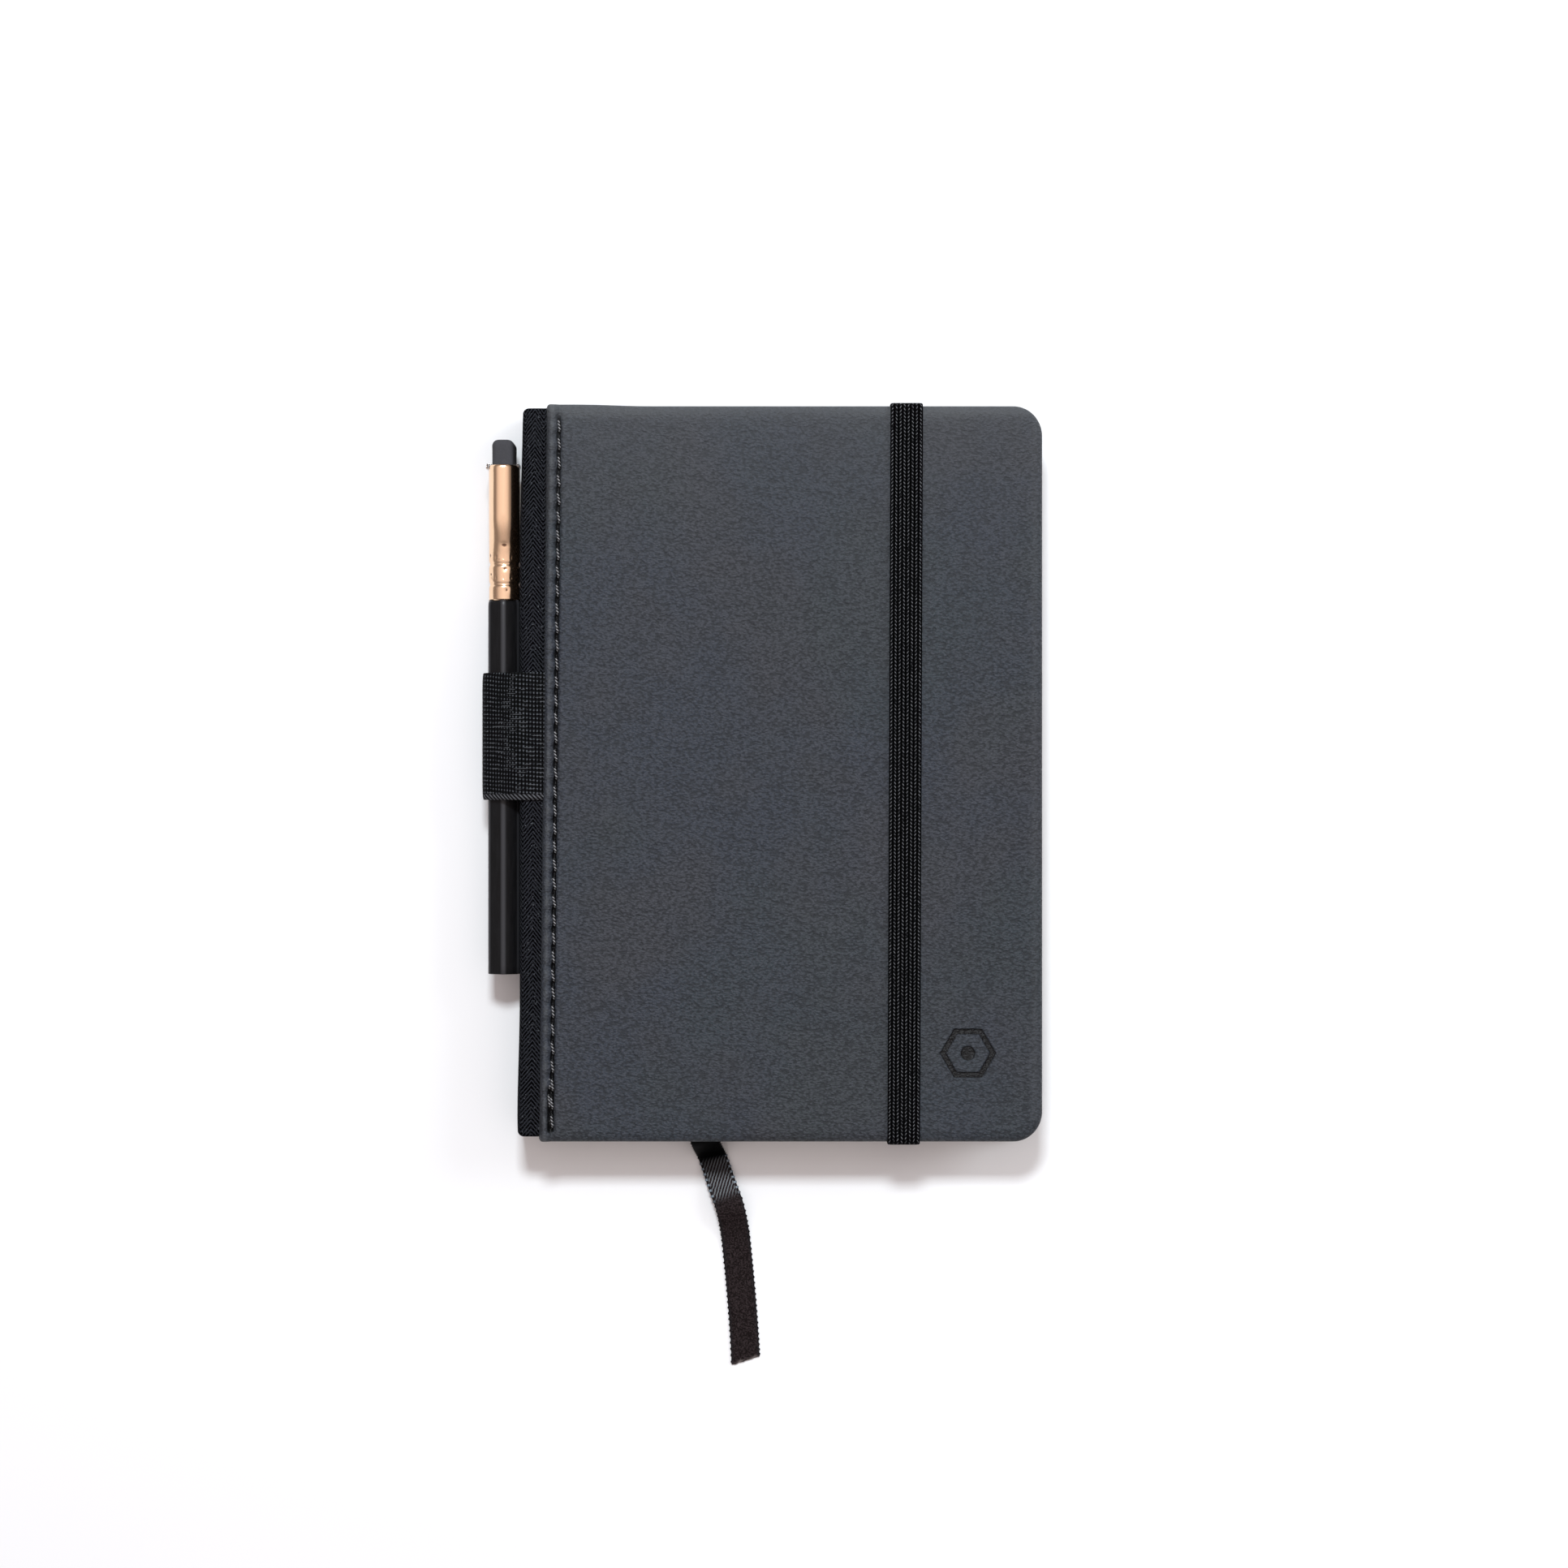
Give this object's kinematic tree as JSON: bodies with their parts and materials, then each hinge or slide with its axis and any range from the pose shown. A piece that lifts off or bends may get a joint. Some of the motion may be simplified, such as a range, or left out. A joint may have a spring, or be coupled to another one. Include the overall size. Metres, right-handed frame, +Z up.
{
  "type": "pocket notebook",
  "caption": "Pocket notebook with grey leather hard covers, black cloth spine, ribbon marker, elastic closure band, and a flat-ferruled pencil in an elastic loop along the spine.",
  "frame": {"origin": "middle of the back cover's outer face, on which the closed notebook lies", "axes": "+X from the spine toward the fore edge, +Y toward the head, +Z up through the front cover"},
  "size_m": [0.1167, 0.2007, 0.0166],
  "materials": {
    "leather": "dark bluish grey pebbled, satin",
    "seam_thread": "waxed black twisted thread",
    "spine_cloth": "black twill book cloth",
    "greyboard": "raw grey board",
    "filler_card": "smooth card",
    "endpaper": "heavy uncoated paper",
    "page_paper": "smooth uncoated paper",
    "sewing_thread": "linen thread",
    "satin_ribbon": "black satin weave",
    "elastic": "black braided elastic",
    "black_paint": "matte black lacquer on cedar",
    "graphite": "semi-metallic graphite",
    "brass_ferrule": "bright rose-gold sheet metal",
    "steel_clip": "bright spring steel",
    "eraser_rubber": "dark grey matte"
  },
  "bodies": {
    "back_case": {"back_leather_panel": "leather", "back_seam_thread": "seam_thread", "back_filler": "filler_card", "back_board": "greyboard", "back_endpaper": "endpaper", "back_flyleaf": "endpaper", "spine_cloth": "spine_cloth", "spine_stiffener": "greyboard", "spine_lining": "filler_card", "sewing_thread": "sewing_thread", "signature_8": "page_paper", "signature_7": "page_paper", "signature_6": "page_paper", "signature_5": "page_paper", "signature_4": "page_paper", "signature_3": "page_paper", "ribbon_marker": "satin_ribbon", "ribbon_tail": "satin_ribbon", "band_end_head": "elastic", "band_end_tail": "elastic", "pencil_loop": "elastic"},
    "front_cover": {"front_leather_panel": "leather", "front_seam_thread": "seam_thread", "front_filler": "filler_card", "front_board": "greyboard", "front_endpaper": "endpaper", "front_joint_cloth": "spine_cloth"},
    "front_pages": {"front_flyleaf": "endpaper", "signature_1": "page_paper", "signature_2": "page_paper"},
    "upper_leaf": {"upper_leaf": "page_paper"},
    "lower_leaf": {"lower_leaf": "page_paper"},
    "closure_band": {"closure_band": "elastic"},
    "pencil": {"pencil_barrel": "black_paint", "pencil_core": "graphite", "pencil_ferrule": "brass_ferrule"},
    "eraser": {"pencil_eraser": "eraser_rubber", "eraser_clip": "steel_clip"}
  },
  "joints": [
    {"name": "front_cover_hinge", "type": "hinge", "parent": "back_case", "child": "front_cover", "pos_m": [-0.0516, 0, 0.0156], "axis": [0, -1, 0], "range_deg": [0, 180]},
    {"name": "front_pages_turn", "type": "hinge", "parent": "back_case", "child": "front_pages", "pos_m": [-0.0516, 0, 0.0156], "axis": [0, -1, 0], "range_deg": [0, 178]},
    {"name": "upper_leaf_turn", "type": "hinge", "parent": "back_case", "child": "upper_leaf", "pos_m": [-0.0516, 0, 0.0156], "axis": [0, -1, 0], "range_deg": [0, 150]},
    {"name": "lower_leaf_turn", "type": "hinge", "parent": "back_case", "child": "lower_leaf", "pos_m": [-0.0516, 0, 0.0156], "axis": [0, -1, 0], "range_deg": [0, 80]},
    {"name": "band_slip", "type": "slide", "parent": "back_case", "child": "closure_band", "axis": [1, 0, 0], "range_m": [0, 0.035], "deforming": ["closure_band"]},
    {"name": "pencil_slide", "type": "slide", "parent": "back_case", "child": "pencil", "axis": [0, 1, 0], "range_m": [-0.0135, 0.07]},
    {"name": "eraser_slide", "type": "slide", "parent": "pencil", "child": "eraser", "axis": [0, 1, 0], "range_m": [0, 0.012]}
  ],
  "couplings": [
    {"joint": "front_pages_turn", "follows": "front_cover_hinge", "ratio": 0.985},
    {"joint": "upper_leaf_turn", "follows": "front_cover_hinge", "ratio": 0.8},
    {"joint": "lower_leaf_turn", "follows": "front_cover_hinge", "ratio": 0.42},
    {"joint": "band_slip", "follows": "front_cover_hinge", "m_per_rad": 0.011}
  ]
}
